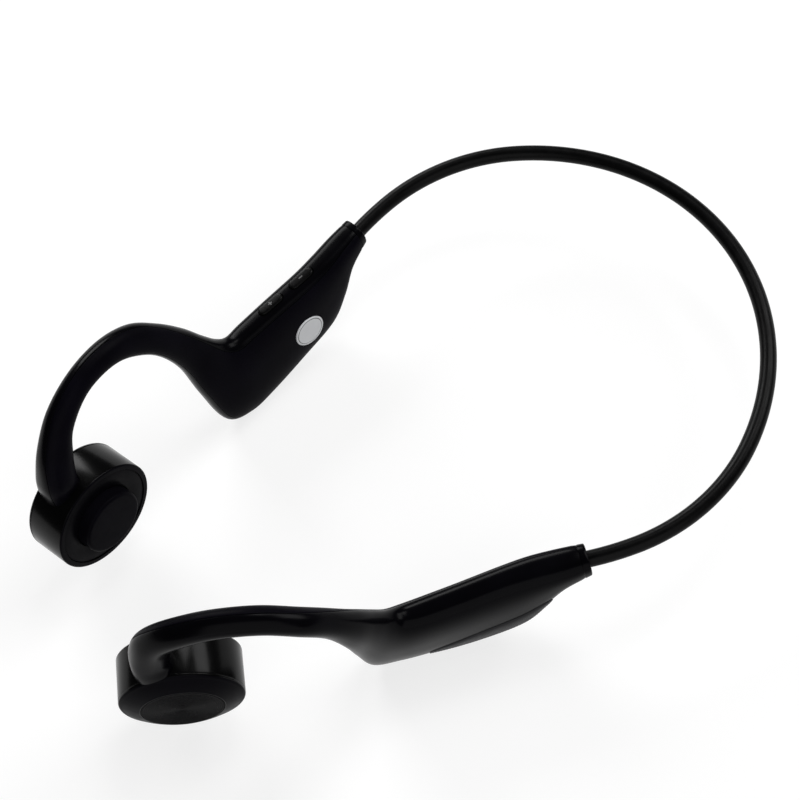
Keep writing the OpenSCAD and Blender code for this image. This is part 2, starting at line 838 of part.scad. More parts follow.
neck_band();
memory_wire();
band_cable();
outer_shell("right");  // right_outer_shell
inner_shell("right");  // right_inner_shell
end_plug("right");  // right_end_plug
wire_anchor("right");  // right_wire_anchor
speaker_lead("right");  // right_speaker_lead
grip_panel("right");  // right_grip_panel
puck_cap("right");  // right_puck_cap
puck_ring("right");  // right_puck_ring
face_plate("right");  // right_face_plate
yoke("right");  // right_yoke
magnet("right");  // right_magnet
pole_plate("right");  // right_pole_plate
voice_coil("right");  // right_voice_coil
spring_plate("right");  // right_spring_plate
contact_pad("right");  // right_contact_pad
outer_shell("left");  // left_outer_shell
inner_shell("left");  // left_inner_shell
end_plug("left");  // left_end_plug
wire_anchor("left");  // left_wire_anchor
speaker_lead("left");  // left_speaker_lead
grip_panel("left");  // left_grip_panel
puck_cap("left");  // left_puck_cap
puck_ring("left");  // left_puck_ring
face_plate("left");  // left_face_plate
yoke("left");  // left_yoke
magnet("left");  // left_magnet
pole_plate("left");  // left_pole_plate
voice_coil("left");  // left_voice_coil
spring_plate("left");  // left_spring_plate
contact_pad("left");  // left_contact_pad
right_trim_disc();
function_button();
function_switch();
volume_up_button();
volume_down_button();
volume_switches();
main_board();
radio_chip();
charge_socket();
port_cover();
microphone();
status_lens();
badge();
battery();
battery_board();
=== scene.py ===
import json
import math

import bmesh
import bpy
import numpy as np
from mathutils import Euler, Matrix, Vector


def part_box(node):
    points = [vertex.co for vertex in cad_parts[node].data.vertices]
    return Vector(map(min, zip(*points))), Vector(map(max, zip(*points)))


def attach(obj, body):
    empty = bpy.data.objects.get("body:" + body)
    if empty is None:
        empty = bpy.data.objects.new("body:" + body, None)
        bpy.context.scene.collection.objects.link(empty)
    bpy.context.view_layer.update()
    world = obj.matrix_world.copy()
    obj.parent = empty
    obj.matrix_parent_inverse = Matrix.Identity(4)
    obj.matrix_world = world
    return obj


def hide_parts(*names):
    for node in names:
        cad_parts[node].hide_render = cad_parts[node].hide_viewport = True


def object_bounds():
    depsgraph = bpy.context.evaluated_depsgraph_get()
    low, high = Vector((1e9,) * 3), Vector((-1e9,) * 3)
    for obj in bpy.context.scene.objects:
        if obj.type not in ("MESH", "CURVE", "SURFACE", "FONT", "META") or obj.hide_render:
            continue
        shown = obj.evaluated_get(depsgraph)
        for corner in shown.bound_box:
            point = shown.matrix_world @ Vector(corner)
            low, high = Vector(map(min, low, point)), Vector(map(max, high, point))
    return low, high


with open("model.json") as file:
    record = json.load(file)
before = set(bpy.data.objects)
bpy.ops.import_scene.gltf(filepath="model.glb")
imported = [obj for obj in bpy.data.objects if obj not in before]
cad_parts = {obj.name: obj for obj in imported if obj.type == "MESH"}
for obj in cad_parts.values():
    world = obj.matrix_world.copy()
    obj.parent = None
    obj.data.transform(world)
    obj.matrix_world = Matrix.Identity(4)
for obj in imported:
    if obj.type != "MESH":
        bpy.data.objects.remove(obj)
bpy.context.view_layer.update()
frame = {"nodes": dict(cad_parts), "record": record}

MM = 0.001

# Sizes of the part, in millimetres, as in its source
BAND_D = 3.7
REAR_RADIUS, REAR_SWEEP = 57.8, 57.7
SIDE_RADIUS, SIDE_SWEEP = 44.3, 43.8
ENTRY_RADIUS, ENTRY_SWEEP = 68.4, 8.6
BAND_STUB = 5.0
ARM_LENGTH, ARM_TOE = 92.0, 16.7
POD_HALF, END_HALF, STRAP_HALF = 4.75, 3.35, 3.1
POD_RISE, POD_DROP, POD_LEN, END_AHEAD = 2.0, 21.2, 36.7, 0.4
POD_FRONT = ARM_LENGTH - END_AHEAD - POD_LEN
TOP_SLOPE = 0.04
HOOK_RISE, HOOK_DEEP = 31.2, 7.9
WALL = 1.2
PUCK_R, HALF_H, PUCK_TOE, PUCK_DROP, PUCK_IN, PUCK_WALL = 13.7, 5.4, 22.0, 2.9, 0.5, 1.4
RIM_ROUND, RIM_SIDE, DOME_RISE, DISC_R, PAD_R, PAD_PROUD = 0.9, 0.1, 1.7, 9.0, 7.9, 3.0
PARTING = HALF_H - RIM_ROUND - RIM_SIDE
BUTTON_L, BUTTON_W, BUTTON_PITCH, BUTTONS_BACK, PRESS = 7.0, 2.5, 9.6, 13.1, 0.4
COVER_L, COVER_W, BADGE_D = 11.4, 3.8, 8.4
RUN_GAP, SEAT_GAP = 0.2, 0.05
SEAM_ANGLE = 125.0

band_low, band_high = (np.array(corner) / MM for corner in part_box("neck_band"))
REAR_Y = band_high[1] - BAND_D / 2
BAND_Z = (band_low[2] + band_high[2]) / 2


# Frames
def turn_z(points, degrees):
    c, s = math.cos(math.radians(degrees)), math.sin(math.radians(degrees))
    x, y, z = points[..., 0], points[..., 1], points[..., 2]
    return np.stack([c * x - s * y, s * x + c * y, z], axis=-1)


def outward(degrees):
    a = math.radians(degrees)
    return np.array([math.sin(a), math.cos(a)])


TURN_1 = REAR_SWEEP
TURN_2 = TURN_1 + SIDE_SWEEP
TURN_3 = TURN_2 + ENTRY_SWEEP
CENTRE_1 = np.array([0.0, -REAR_RADIUS])
CENTRE_2 = CENTRE_1 + (REAR_RADIUS - SIDE_RADIUS) * outward(TURN_1)
CENTRE_3 = CENTRE_2 + (SIDE_RADIUS - ENTRY_RADIUS) * outward(TURN_2)
EXIT = CENTRE_3 + ENTRY_RADIUS * outward(TURN_3)
PUCK_AT = EXIT - ARM_LENGTH * outward(ARM_TOE)


def from_band(points, side):
    """Band frame to part frame; the right side is the left one mirrored."""
    p = np.array(points, float)
    if side == "right":
        p[..., 0] = -p[..., 0]
    return p + np.array([0.0, REAR_Y, BAND_Z])


def from_arm(points, side):
    return from_band(turn_z(np.array(points, float), -ARM_TOE) + np.array([*PUCK_AT, 0.0]), side)


def puck_to_arm(points):
    p = np.array(points, float)
    lying = np.stack([p[..., 2], p[..., 1], -p[..., 0]], axis=-1)
    return turn_z(lying, ARM_TOE - PUCK_TOE) + np.array([-PUCK_IN, 0.0, -PUCK_DROP])


def from_puck(points, side):
    return from_arm(puck_to_arm(points), side)


# Stations along an arm: upper point, lower point, half thickness, squareness.
# The pod's sections are a little less square than the solids', by 0.25 mm at most, for a soft crease.
def pod_y(share):
    return POD_FRONT + share * POD_LEN


def pod_upper(out, share):
    return [out, pod_y(share), POD_RISE + TOP_SLOPE * (pod_y(share) - POD_FRONT)]


def pod_lower(out, share, deep):
    return [out, pod_y(share), -deep * POD_DROP]


def hook_upper(out, y, share):
    return [out, y, POD_RISE + share * (HOOK_RISE - POD_RISE)]


def strap(top, aim, lean, deep):
    a, b = math.radians(aim), math.radians(lean)
    way = np.array([math.sin(b), math.cos(b) * math.cos(a), math.cos(b) * math.sin(a)])
    return [*top, *(np.array(top) - deep * way)]


PLUS_SHARE = (BUTTONS_BACK - BUTTON_PITCH / 2) / POD_LEN
MINUS_SHARE = (BUTTONS_BACK + BUTTON_PITCH / 2) / POD_LEN
TONGUE_WIDER = 1.3
TONGUE_HALF = STRAP_HALF + TONGUE_WIDER
TONGUE_Z = PUCK_R - PUCK_DROP
STATIONS = np.array([
    [*pod_upper(0.2, 1), *pod_lower(0.1, 1, 0.125), END_HALF, 2.6],
    [*pod_upper(0, 0.82), *pod_lower(-0.2, 0.83, 0.27), (END_HALF + POD_HALF) / 2, 2.7],
    [*pod_upper(-0.2, 0.66), *pod_lower(-0.6, 0.7, 0.55), POD_HALF - 0.2, 2.8],
    [*pod_upper(0, MINUS_SHARE), *pod_lower(-0.7, 0.54, 0.82), POD_HALF, 2.8],
    [*pod_upper(0.9, PLUS_SHARE), *pod_lower(-0.7, 0.25, 0.93), POD_HALF, 2.8],
    [*pod_upper(1.6, 0), *pod_lower(-1, -0.07, 0.99), POD_HALF, 2.7],
    [1.8, 50.6, POD_RISE + 0.2, -1, 45, -POD_DROP, POD_HALF - 0.1, 2.45],
    [*hook_upper(2.6, 48, 0.075), -0.2, 39.2, -0.86 * POD_DROP, POD_HALF - 0.3, 2.35],
    [*hook_upper(3.6, 45.6, 0.21), 1.6, 37.6, -0.33 * POD_DROP, (POD_HALF + STRAP_HALF) / 2, 2.4],
    [*hook_upper(4.8, 42.8, 0.4), 4, 37, 0.18 * POD_DROP, STRAP_HALF + 0.4, 2.3],
    [*strap(hook_upper(6.6, 38.5, 0.62), 58, 17, HOOK_DEEP + 0.4), STRAP_HALF, 2.2],
    [*strap(hook_upper(7.9, 32.8, 0.825), 68, 28, HOOK_DEEP - 0.1), STRAP_HALF, 2.2],
    [*strap(hook_upper(7.2, 24.6, 0.97), 84, 32, HOOK_DEEP - 1.4), STRAP_HALF, 2.2],
    [*strap(hook_upper(5.7, 14.9, 1), 97, 32, HOOK_DEEP - 1.9), STRAP_HALF, 2.2],
    [*strap(hook_upper(3.8, 5.4, 0.905), 116, 26, HOOK_DEEP - 1.1), STRAP_HALF + 0.2, 2.2],
    [*strap(hook_upper(1.5, -1.8, 0.71), 143, 15, HOOK_DEEP), STRAP_HALF + 0.6, 2.3],
    [*strap(hook_upper(0.2, -5.8, 0.475), 163, 5, HOOK_DEEP + 0.6), TONGUE_HALF, 2.4],
    [0.4, -7, TONGUE_Z - 0.3, 0.4, 2.2, TONGUE_Z + 0.7, TONGUE_HALF, 2.5],
])
LAST = len(STATIONS) - 1
MINUS_STATION, PLUS_STATION, PORT_STATION, MIC_STATION, LENS_STATION = 3, 4, 4, 3, 2


def between(u):
    """Station values on a smooth curve through all the stations."""
    i = min(int(math.floor(u)), LAST - 1)
    t = u - i
    a, b, c, d = (STATIONS[max(0, min(LAST, k))] for k in (i - 1, i, i + 1, i + 2))
    return b + 0.5 * t * (c - a + t * (2 * a - 5 * b + 4 * c - d + t * (3 * (b - c) + d - a)))


def unit(v):
    return v / np.linalg.norm(v)


def section(s, angles, insets):
    """Points of one section at angles in degrees, taken in by the insets."""
    top, low, half, square = s[0:3], s[3:6], s[6], s[7]
    up = unit(top - low)
    out = unit(np.array([1.0, 0, 0]) - up[0] * up)
    a = np.radians(np.array(angles, float))
    sn, cs = np.sin(a), np.cos(a)
    rise = (np.linalg.norm(top - low) / 2 - insets) * np.sign(sn) * np.abs(sn) ** (2 / square)
    reach = (half - insets) * np.sign(cs) * np.abs(cs) ** (2 / square)
    return (top + low) / 2 + rise[:, None] * up + reach[:, None] * out


def on_puck(p):
    """Points dropped on the puck's side wall."""
    turn = math.radians(ARM_TOE - PUCK_TOE)
    q = p[:, :2] + np.array([PUCK_IN, 0.0])
    along = q @ np.array([math.cos(turn), math.sin(turn)])
    reach = (PUCK_R + SEAT_GAP) ** 2 - (q * q).sum(axis=1) + along ** 2
    dropped = p.copy()
    dropped[:, 2] = np.sqrt(reach) - PUCK_DROP
    return dropped


FOOT_FROM = LAST - 1 / 3


def arm_ring(u, angles, insets):
    insets = np.broadcast_to(np.array(insets, float), len(angles))
    if u <= FOOT_FROM:
        return section(between(u), angles, insets)
    foot = on_puck(section(between(LAST), angles, insets))
    start = section(between(FOOT_FROM), angles, insets)
    t = (u - FOOT_FROM) / (LAST - FOOT_FROM)
    return start + t * (foot - start)


# Meshes
SMOOTH_ANGLE = 32.0
WELD = 1e-7


def make_object(name, verts, faces, smooth_angle=SMOOTH_ANGLE):
    """A piece from millimetre points in the part frame."""
    mesh = bpy.data.meshes.new(name)
    mesh.from_pydata([tuple(v) for v in np.array(verts, float) * MM], [], faces)
    bm = bmesh.new()
    bm.from_mesh(mesh)
    bmesh.ops.remove_doubles(bm, verts=bm.verts, dist=WELD)
    bmesh.ops.dissolve_degenerate(bm, edges=bm.edges, dist=WELD)
    bmesh.ops.recalc_face_normals(bm, faces=bm.faces)
    bm.to_mesh(mesh)
    bm.free()
    obj = bpy.data.objects.new(name, mesh)
    bpy.context.scene.collection.objects.link(obj)
    shade(obj, smooth_angle)
    return obj


def shade(obj, smooth_angle):
    mesh = obj.data
    mesh.polygons.foreach_set("use_smooth", [True] * len(mesh.polygons))
    mesh.set_sharp_from_angle(angle=math.radians(smooth_angle))
    mesh.update()


def loft(rings, caps=True):
    """Vertices and faces through rings of equally many points."""
    rings = np.array(rings, float)
    n, m = rings.shape[:2]
    verts = rings.reshape(-1, 3)
    faces = []
    for k in range(n - 1):
        for j in range(m):
            a, b = k * m + j, k * m + (j + 1) % m
            faces.append((a, b, b + m, a + m))
    if caps:
        faces.append(tuple(range(m - 1, -1, -1)))
        faces.append(tuple(range((n - 1) * m, n * m)))
    return verts, faces


def strip_caps(n, m):
    """End faces of a strip whose rings run out along one row and back along another."""
    faces = []
    for base, flip in ((0, True), ((n - 1) * m, False)):
        for j in range(m // 2 - 1):
            quad = (base + j, base + j + 1, base + m - 2 - j, base + m - 1 - j)
            faces.append(quad[::-1] if flip else quad)
    return faces


def cut(obj, *tools):
    """Subtracts tool objects, then drops them."""
    for tool in tools:
        mod = obj.modifiers.new("cut", "BOOLEAN")
        mod.operation = "DIFFERENCE"
        mod.solver = "EXACT"
        mod.object = tool
    bpy.context.view_layer.update()
    graph = bpy.context.evaluated_depsgraph_get()
    result = bpy.data.meshes.new_from_object(obj.evaluated_get(graph))
    obj.modifiers.clear()
    old = obj.data
    obj.data = result
    bpy.data.meshes.remove(old)
    result.name = obj.name
    for tool in tools:
        mesh = tool.data
        bpy.data.objects.remove(tool)
        bpy.data.meshes.remove(mesh)
    shade(obj, SMOOTH_ANGLE)


def place(obj, body, slot, *nodes):
    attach(obj, body)
    if nodes:
        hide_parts(*nodes)
    obj.data.materials.clear()
    obj.data.materials.append(MATERIALS[slot])
    return obj


# Materials
CLOUD_SCALE, GLOSS_SCALE, NOISE_ROUGH = 90.0, 420.0, 0.55
MOULD_BUMP, DRAWN_BUMP = 0.00002, 0.00001


def new_material(name):
    mat = bpy.data.materials.new(name)
    mat.use_nodes = True
    tree = mat.node_tree
    return mat, tree, tree.nodes["Principled BSDF"]


def noise(tree, scale, detail=3.0, stretch=None):
    coord = tree.nodes.new("ShaderNodeTexCoord")
    tex = tree.nodes.new("ShaderNodeTexNoise")
    tex.inputs["Scale"].default_value = scale
    tex.inputs["Detail"].default_value = detail
    tex.inputs["Roughness"].default_value = NOISE_ROUGH
    if stretch:
        mapping = tree.nodes.new("ShaderNodeMapping")
        mapping.inputs["Scale"].default_value = stretch
        tree.links.new(coord.outputs["Object"], mapping.inputs["Vector"])
        tree.links.new(mapping.outputs["Vector"], tex.inputs["Vector"])
    else:
        tree.links.new(coord.outputs["Object"], tex.inputs["Vector"])
    return tex.outputs["Fac"]


def ramp(tree, value, low, high, start=0.3, end=0.7):
    node = tree.nodes.new("ShaderNodeMapRange")
    node.inputs["From Min"].default_value = start
    node.inputs["From Max"].default_value = end
    node.inputs["To Min"].default_value = low
    node.inputs["To Max"].default_value = high
    tree.links.new(value, node.inputs["Value"])
    return node.outputs["Result"]


def blend(tree, value, first, second):
    node = tree.nodes.new("ShaderNodeMix")
    node.data_type = "RGBA"
    node.inputs["A"].default_value = (*first, 1)
    node.inputs["B"].default_value = (*second, 1)
    tree.links.new(ramp(tree, value, 0, 1), node.inputs["Factor"])
    return node.outputs["Result"]


def bump(tree, shader, height, strength, distance):
    node = tree.nodes.new("ShaderNodeBump")
    node.inputs["Strength"].default_value = strength
    node.inputs["Distance"].default_value = distance
    tree.links.new(height, node.inputs["Height"])
    tree.links.new(node.outputs["Normal"], shader.inputs["Normal"])


def moulded(name, colour, rough, grain=9000.0, depth=0.3, spread=0.06, tint=0.3, specular=0.5):
    """Moulded or painted finish: cloudy tone, uneven gloss and a fine grain."""
    mat, tree, shader = new_material(name)
    cloud = noise(tree, CLOUD_SCALE)
    dark = [c * (1 - tint) for c in colour]
    light = [min(1.0, c * (1 + tint)) for c in colour]
    tree.links.new(blend(tree, cloud, dark, light), shader.inputs["Base Color"])
    gloss = noise(tree, GLOSS_SCALE, detail=4.0)
    tree.links.new(ramp(tree, gloss, rough - spread, rough + spread), shader.inputs["Roughness"])
    bump(tree, shader, noise(tree, grain, detail=2.0), depth, MOULD_BUMP)
    shader.inputs["Specular IOR Level"].default_value = specular
    mat.diffuse_color = (*colour, 1)
    return mat


def soft_touch(name, colour, rough, sheen):
    """Rubber or soft paint: a moulded finish with a faint sheen."""
    mat = moulded(name, colour, rough, grain=6000.0, depth=0.12, spread=0.05, specular=0.012)
    shader = mat.node_tree.nodes["Principled BSDF"]
    shader.inputs["Sheen Weight"].default_value = sheen
    shader.inputs["Sheen Roughness"].default_value = 0.5
    return mat


def drawn_metal(name, colour, rough, stretch):
    """Bare metal with fine lines, closer along the axes with the larger stretch."""
    mat, tree, shader = new_material(name)
    lines = noise(tree, 1.0, detail=5.0, stretch=stretch)
    tree.links.new(
        blend(tree, lines, [c * 0.85 for c in colour], [min(1, c * 1.1) for c in colour]),
        shader.inputs["Base Color"],
    )
    tree.links.new(ramp(tree, lines, rough - 0.06, rough + 0.08), shader.inputs["Roughness"])
    bump(tree, shader, lines, 0.2, DRAWN_BUMP)
    shader.inputs["Metallic"].default_value = 1.0
    mat.diffuse_color = (*colour, 1)
    return mat


def clear_plastic(name):
    mat, tree, shader = new_material(name)
    cloud = noise(tree, 800.0)
    tree.links.new(ramp(tree, cloud, 0.12, 0.22), shader.inputs["Roughness"])
    tone = blend(tree, cloud, (0.8, 0.82, 0.85), (0.92, 0.93, 0.95))
    tree.links.new(tone, shader.inputs["Base Color"])
    shader.inputs["Transmission Weight"].default_value = 0.7
    shader.inputs["IOR"].default_value = 1.49
    return mat


def board_green(name):
    mat, tree, shader = new_material(name)
    coord = tree.nodes.new("ShaderNodeTexCoord")
    brick = tree.nodes.new("ShaderNodeTexBrick")
    brick.inputs["Scale"].default_value = 900.0
    brick.inputs["Color1"].default_value = (0.008, 0.07, 0.025, 1)
    brick.inputs["Color2"].default_value = (0.012, 0.1, 0.04, 1)
    brick.inputs["Mortar"].default_value = (0.03, 0.16, 0.07, 1)
    tree.links.new(coord.outputs["Object"], brick.inputs["Vector"])
    tree.links.new(brick.outputs["Color"], shader.inputs["Base Color"])
    tree.links.new(ramp(tree, noise(tree, 700.0), 0.3, 0.45), shader.inputs["Roughness"])
    return mat


MATERIALS = {
    "band_silicone": moulded(
        "band_silicone", (0.002, 0.002, 0.0021), 0.34,
        depth=0.08, specular=0.075,
    ),
    "lead_jacket": moulded("lead_jacket", (0.03, 0.03, 0.032), 0.5),
    # The blue-purple cast in the shell bases is painted light colour. It stands in for a bluish fill light
    # and is stronger on the inner shells; the lamps are white.
    "shell_black": moulded(
        "shell_black", (0.0014, 0.0013, 0.002), 0.24,
        depth=0.05, spread=0.015, specular=0.042,
    ),
    "shell_inner": moulded(
        "shell_inner", (0.0022, 0.0019, 0.0036), 0.42,
        depth=0.1, spread=0.04, specular=0.02,
    ),
    "grip_black": moulded(
        "grip_black", (0.015, 0.015, 0.0165), 0.42,
        grain=5000.0, depth=0.2, specular=0.15,
    ),
    "puck_black": moulded(
        "puck_black", (0.0018, 0.0018, 0.0019), 0.2,
        depth=0.05, spread=0.02, specular=0.09,
    ),
    # The blue-purple cast in the face and pad bases is painted light colour, standing in for a bluish fill
    # light.
    "face_black": moulded(
        "face_black", (0.0022, 0.002, 0.003), 0.38,
        depth=0.1, specular=0.022,
    ),
    "pad_soft": soft_touch("pad_soft", (0.0026, 0.0023, 0.0038), 0.45, 0.002),
    "spun_black": moulded("spun_black", (0.002, 0.0019, 0.0024), 0.3, depth=0.1, specular=0.01),
    "button_black": moulded(
        "button_black", (0.002, 0.002, 0.0021), 0.3,
        depth=0.08, specular=0.08,
    ),
    "cover_rubber": soft_touch("cover_rubber", (0.004, 0.004, 0.004), 0.55, 0.004),
    "badge_silver": moulded("badge_silver", (0.78, 0.79, 0.81), 0.36, tint=0.05, depth=0.15),
    "lens_clear": clear_plastic("lens_clear"),
    "steel": drawn_metal("steel", (0.55, 0.55, 0.56), 0.3, (3000.0, 300.0, 3000.0)),
    "magnet_nickel": drawn_metal("magnet_nickel", (0.6, 0.58, 0.55), 0.22, (900.0, 900.0, 900.0)),
    "brass": drawn_metal("brass", (0.72, 0.5, 0.2), 0.28, (400.0, 2500.0, 400.0)),
    "copper": drawn_metal("copper", (0.75, 0.34, 0.18), 0.32, (400.0, 400.0, 6000.0)),
    "board_green": board_green("board_green"),
    "chip_black": moulded("chip_black", (0.02, 0.02, 0.021), 0.55),
    "battery_foil": drawn_metal("battery_foil", (0.62, 0.63, 0.65), 0.38, (500.0, 500.0, 500.0)),
}
MARK_GREY = moulded("mark_grey", (0.13, 0.13, 0.13), 0.5, tint=0.15, specular=0.1)
BADGE_LINE = moulded("badge_line", (0.16, 0.165, 0.17), 0.45, tint=0.2)
# The dome finish is duller than the puck's own, and its blue-purple cast is painted light colour, standing
# in for a bluish fill light.
DOME_BLACK = moulded("dome_black", (0.0022, 0.002, 0.0032), 0.34, depth=0.1, specular=0.018)


# Arms
SPREAD_POWER, UNSPREAD_POWER = 1.4, 0.714


def to_angles(turn):
    """Angles in degrees that spread even turns evenly over a squarish outline."""
    sn, cs = np.sin(turn), np.cos(turn)
    rise, reach = (np.sign(v) * np.abs(v) ** SPREAD_POWER for v in (sn, cs))
    return np.degrees(np.arctan2(rise, reach))


def to_turn(angle):
    """The turn that to_angles takes to an angle, very nearly."""
    a = math.radians(angle)
    rise, reach = (math.copysign(abs(v) ** UNSPREAD_POWER, v) for v in (math.sin(a), math.cos(a)))
    return math.atan2(rise, reach)


def arm_angles(count):
    """Angles all the way round a section."""
    return to_angles(np.linspace(-math.pi, math.pi, count, endpoint=False))


def spread_angles(first, last, count):
    """Angles from first to last in degrees; a last one past 180 goes on round."""
    turn_first, turn_last = to_turn(first), to_turn(last)
    if last > 180:
        turn_last += 2 * math.pi
    angles = to_angles(np.linspace(turn_first, turn_last, count))
    if last > 180:
        angles = np.where(angles < 0, angles + 360, angles)
    return angles


RINGS_PER_STATION = 8
OUTER_POINTS, INNER_POINTS = 84, 44
SEAM_GAP = 0.025
# Along the skin from the seam, and how far in
EDGE_ROUND = ((0.0, 0.14), (0.03, 0.07), (0.08, 0.02), (0.16, 0.0))
PLUG_END = 1 / 3
PLUG_GAP = 0.004
LIP_RUN, LIP_DEEP = 0.04, 0.1


def skin_places():
    first = PLUG_END + PLUG_GAP
    count = int((LAST - first) * RINGS_PER_STATION)
    return np.linspace(first, LAST, count + 1)


def degrees_per_mm(u, angle):
    p = arm_ring(u, [angle - 0.5, angle + 0.5], 0.0)
    return 1.0 / np.linalg.norm(p[1] - p[0])


def skin(name, side, outer):
    """One moulded half of an arm, closed, with rounded edges along the seam."""
    rings = []
    count = OUTER_POINTS if outer else INNER_POINTS
    for u in skin_places():
        per_mm = degrees_per_mm(u, SEAM_ANGLE)
        edge = SEAM_ANGLE - SEAM_GAP * per_mm if outer else SEAM_ANGLE + SEAM_GAP * per_mm
        way = -1 if outer else 1
        rim = [(edge + way * along * per_mm, deep) for along, deep in EDGE_ROUND]
        last = rim[-1][0]
        if outer:
            middle = spread_angles(-last, last, count)[1:-1]
            head = [(-a, d) for a, d in rim]
            tail = rim[::-1]
        else:
            middle = spread_angles(last, 360 - last, count)[1:-1]
            head = rim
            tail = [(360 - a, d) for a, d in rim[::-1]]
        row = head + [(a, 0.0) for a in middle] + tail
        lip = LIP_DEEP * (1 - min(1.0, (u - PLUG_END) / LIP_RUN))
        angles = np.array([a for a, _ in row])
        face = arm_ring(u, angles, np.array([d for _, d in row]) + lip)
        back = arm_ring(u, angles, WALL)[::-1]
        rings.append(np.concatenate([face, back]))
    n, m = len(rings), len(rings[0])
    verts, faces = loft([from_arm(r, side) for r in rings], caps=False)
    faces += strip_caps(n, m)
    return make_object(name, verts, faces)


def line_frame(i, row):
    """Matrix from a station's top or bottom line to the arm frame, as in the source."""
    s = STATIONS[i]
    cols = slice(0, 3) if row == 0 else slice(3, 6)
    way = STATIONS[i - 1][cols] - STATIONS[i + 1][cols]
    up = unit(s[0:3] - s[3:6])
    lean = math.atan2(up[0], up[2])
    turn = Euler((math.atan2(way[2], way[1]), lean, -math.atan2(way[0], way[1])), "XYZ")
    m = Matrix.Translation(Vector(s[cols])) @ turn.to_matrix().to_4x4()
    if row == 1:
        m = m @ Matrix.Rotation(math.pi, 4, "Y")
    return m


def through(matrix, points):
    m = np.array(matrix)
    return np.array(points, float) @ m[:3, :3].T + m[:3, 3]


ON_PLUS, ON_MINUS = line_frame(PLUS_STATION, 0), line_frame(MINUS_STATION, 0)
ON_PORT, ON_MIC, ON_LENS = (line_frame(i, 1) for i in (PORT_STATION, MIC_STATION, LENS_STATION))


def stadium(length, width, steps=14):
    """Outline of a slot with round ends, length along Y."""
    r, straight = width / 2, (length - width) / 2
    a = np.linspace(0, math.pi, steps)
    top = np.stack([r * np.cos(a), straight + r * np.sin(a)], axis=1)
    return np.concatenate([top, -top])


def circle(radius, steps):
    a = np.linspace(0, 2 * math.pi, steps, endpoint=False)
    return np.stack([radius * np.cos(a), radius * np.sin(a)], axis=1)


def rounded(length, width, corner, steps=6):
    """Outline of a rectangle with rounded corners, length along Y."""
    points = []
    for k, (sx, sy) in enumerate(((1, 1), (-1, 1), (-1, -1), (1, -1))):
        for a in np.linspace(k * 90, k * 90 + 90, steps):
            r = math.radians(a)
            points.append([
                sx * (width / 2 - corner) + corner * math.cos(r),
                sy * (length / 2 - corner) + corner * math.sin(r),
            ])
    return np.array(points)


def at_height(outline, z):
    z = np.broadcast_to(np.array(z, float), len(outline))
    return np.concatenate([outline, z[:, None]], axis=1)


def prism(name, outline, low, high, to_part):
    verts, faces = loft([at_height(outline, low), at_height(outline, high)])
    return make_object(name, to_part(verts), faces)


def on(matrix):
    """Takes points in a frame on the right arm to the part frame."""
    return lambda points: from_arm(through(matrix, points), "right")


# Middle of a pod, where the badge sits
plus_mid, minus_mid = ((STATIONS[i][0:3] + STATIONS[i][3:6]) / 2 for i in (PLUS_STATION, MINUS_STATION))
pod_way = minus_mid - plus_mid


def station_lean(i):
    up = unit(STATIONS[i][0:3] - STATIONS[i][3:6])
    return math.atan2(up[0], up[2])


POD_LEAN = (station_lean(PLUS_STATION) + station_lean(MINUS_STATION)) / 2
IN_POD = (
    Matrix.Translation(Vector((plus_mid + minus_mid) / 2))
    @ Euler((0, POD_LEAN, -math.atan2(pod_way[0], pod_way[1])), "XYZ").to_matrix().to_4x4()
)
BADGE_T, BADGE_PROUD, BADGE_AHEAD, BADGE_LOW, BADGE_ROOM = 0.75, 0.15, 1.3, 1.5, 0.07
MIC_R, LENS_R, PORT_CORNER = 0.5, 0.85, 0.9
CUT_REACH, BAND_CUT_REACH = 3.0, 12.0
AT_BADGE = (
    IN_POD
    @ Matrix.Translation(Vector((-POD_HALF + BADGE_T - BADGE_PROUD, -BADGE_AHEAD, -BADGE_LOW)))
    @ Matrix.Rotation(-math.pi / 2, 4, "Y")
)


def through_hole(name, outline, matrix):
    return prism(name, outline, -CUT_REACH, CUT_REACH, on(matrix))


for side in ("right", "left"):
    outer = skin(f"{side}_outer_skin", side, True)
    inner = skin(f"{side}_inner_skin", side, False)
    if side == "right":
        slots = [
            through_hole(f"slot_{k}", stadium(BUTTON_L + 2 * RUN_GAP, BUTTON_W + 2 * RUN_GAP), m)
            for k, m in enumerate((ON_PLUS, ON_MINUS))
        ]
        port_outline = rounded(COVER_L + 2 * RUN_GAP, COVER_W + 2 * RUN_GAP, PORT_CORNER)
        port = through_hole("slot_port", port_outline, ON_PORT)
        mic = through_hole("hole_mic", circle(MIC_R, steps=24), ON_MIC)
        lens = through_hole("hole_lens", circle(LENS_R, steps=32), ON_LENS)
        cut(outer, *slots, port, mic, lens)
        seat_outline = circle(BADGE_D / 2 + BADGE_ROOM, steps=96)
        cut(inner, prism("seat_badge", seat_outline, -SEAT_GAP, CUT_REACH, on(AT_BADGE)))
    place(outer, "headset", "shell_black", f"{side}_outer_shell")
    place(inner, "headset", "shell_inner", f"{side}_inner_shell")


# Ends of the pods, with the band's hole
def at_exit(points, side):
    """Frame at the band's exit, Z into the pod."""
    p = np.array(points, float)
    stood = np.stack([p[..., 0], -p[..., 2], p[..., 1]], axis=-1)
    return from_band(turn_z(stood, 90 - TURN_3) + np.array([*EXIT, 0.0]), side)


SPIGOT_GAP = 0.08
